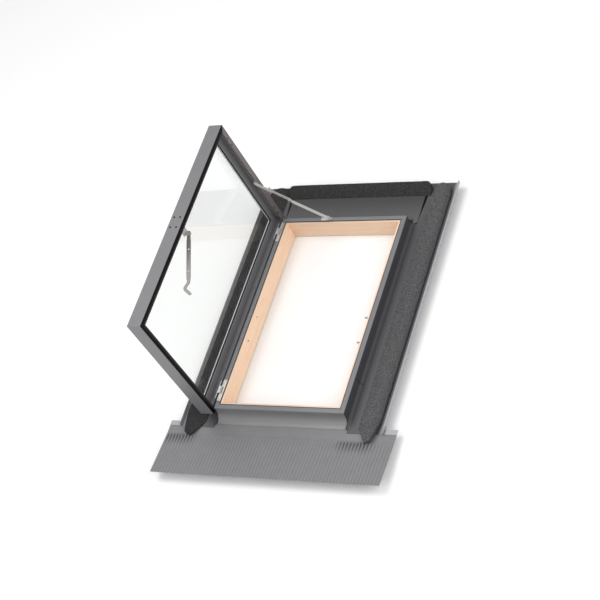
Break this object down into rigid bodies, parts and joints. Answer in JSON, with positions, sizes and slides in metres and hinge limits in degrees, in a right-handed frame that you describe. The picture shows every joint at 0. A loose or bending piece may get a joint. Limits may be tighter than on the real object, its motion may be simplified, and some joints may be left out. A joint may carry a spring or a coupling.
{
  "type": "roof hatch",
  "caption": "Side-hung glazed roof hatch standing open: pine frame with metal caps, bent flashing, foam wedges, pleated apron, drop handle and folding stay.",
  "frame": {"origin": "middle of the four fixing holes, on the underside of the fixing straps", "axes": "+X across the roof from the hinge side to the opening side, +Y up the slope, +Z out of the roof"},
  "size_m": [0.746, 1.06, 0.5024],
  "materials": {
    "pine": "clear-coated planed pine",
    "rim_metal": "satin grey coating",
    "cover_sheet": "satin grey coating",
    "flashing_sheet": "satin grey coating, pale lip",
    "apron_sheet": "matt grey pleated sheet",
    "foam": "soft open-cell foam",
    "sash_metal": "satin grey coating",
    "glass": "clear float glass",
    "spacer": "mill finish",
    "gasket": "matt black rubber",
    "steel": "zinc-plated steel"
  },
  "bodies": {
    "frame": {"frame_head": "pine", "frame_sill": "pine", "frame_jamb_left": "pine", "frame_jamb_right": "pine", "rim_head": "rim_metal", "rim_sill": "rim_metal", "rim_left": "rim_metal", "rim_right": "rim_metal", "frame_gasket": "gasket", "side_cover_left": "cover_sheet", "side_cover_right": "cover_sheet", "corner_cover_left": "cover_sheet", "corner_cover_right": "cover_sheet", "sill_cover": "cover_sheet", "head_cover": "cover_sheet", "side_flashing_left": "flashing_sheet", "side_flashing_right": "flashing_sheet", "apron": "apron_sheet", "foam_head": "foam", "foam_left": "foam", "foam_right": "foam", "fixing_strap_head_left": "steel", "fixing_strap_head_right": "steel", "fixing_strap_sill_left": "steel", "fixing_strap_sill_right": "steel", "hinge_frame_leaf_upper": "steel", "hinge_frame_leaf_lower": "steel", "hinge_pin_upper": "steel", "hinge_pin_lower": "steel", "hinge_frame_screws": "steel", "catch_pins": "steel", "stay_frame_bracket": "steel", "stay_frame_pin": "steel", "stay_bracket_screws": "steel"},
    "sash": {"sash_rail_top": "sash_metal", "sash_rail_bottom": "sash_metal", "sash_stile_left": "sash_metal", "sash_stile_right": "sash_metal", "pane_outer": "glass", "pane_inner": "glass", "glass_spacer": "spacer", "glazing_gasket_outer": "gasket", "glazing_gasket_inner": "gasket", "hinge_sash_leaf_upper": "steel", "hinge_sash_leaf_lower": "steel", "hinge_sash_screws": "steel", "handle_bracket": "steel", "handle_rivets": "steel", "handle_pin": "steel", "stay_sash_bracket": "steel", "stay_sash_pin": "steel"},
    "handle": {"handle_bar": "steel"},
    "stay_lower": {"stay_lower_link": "steel", "stay_elbow_rivet": "steel"},
    "stay_upper": {"stay_upper_link": "steel"}
  },
  "joints": [
    {"name": "sash_hinge", "type": "hinge", "parent": "frame", "child": "sash", "pos_m": [-0.2106, 0, 0.067], "axis": [0, 1, 0], "range_deg": [0, 91]},
    {"name": "handle_swing", "type": "hinge", "parent": "sash", "child": "handle", "pos_m": [-0.23179, 0, 0.44429], "axis": [-0.0175, 0, 0.9998], "range_deg": [-15, 110]},
    {"name": "stay_lower_turn", "type": "hinge", "parent": "frame", "child": "stay_lower", "pos_m": [-0.046, 0.3387, 0.079], "axis": [0, 1, 0], "range_deg": [-1, 138]},
    {"name": "stay_upper_turn", "type": "hinge", "parent": "sash", "child": "stay_upper", "pos_m": [-0.22279, 0.341, 0.24941], "axis": [0, 1, 0], "range_deg": [-137, 1]}
  ],
  "couplings": [
    {"joint": "stay_lower_turn", "follows": "sash_hinge", "ratio": 1.5025},
    {"joint": "stay_upper_turn", "follows": "sash_hinge", "ratio": -1.491}
  ]
}
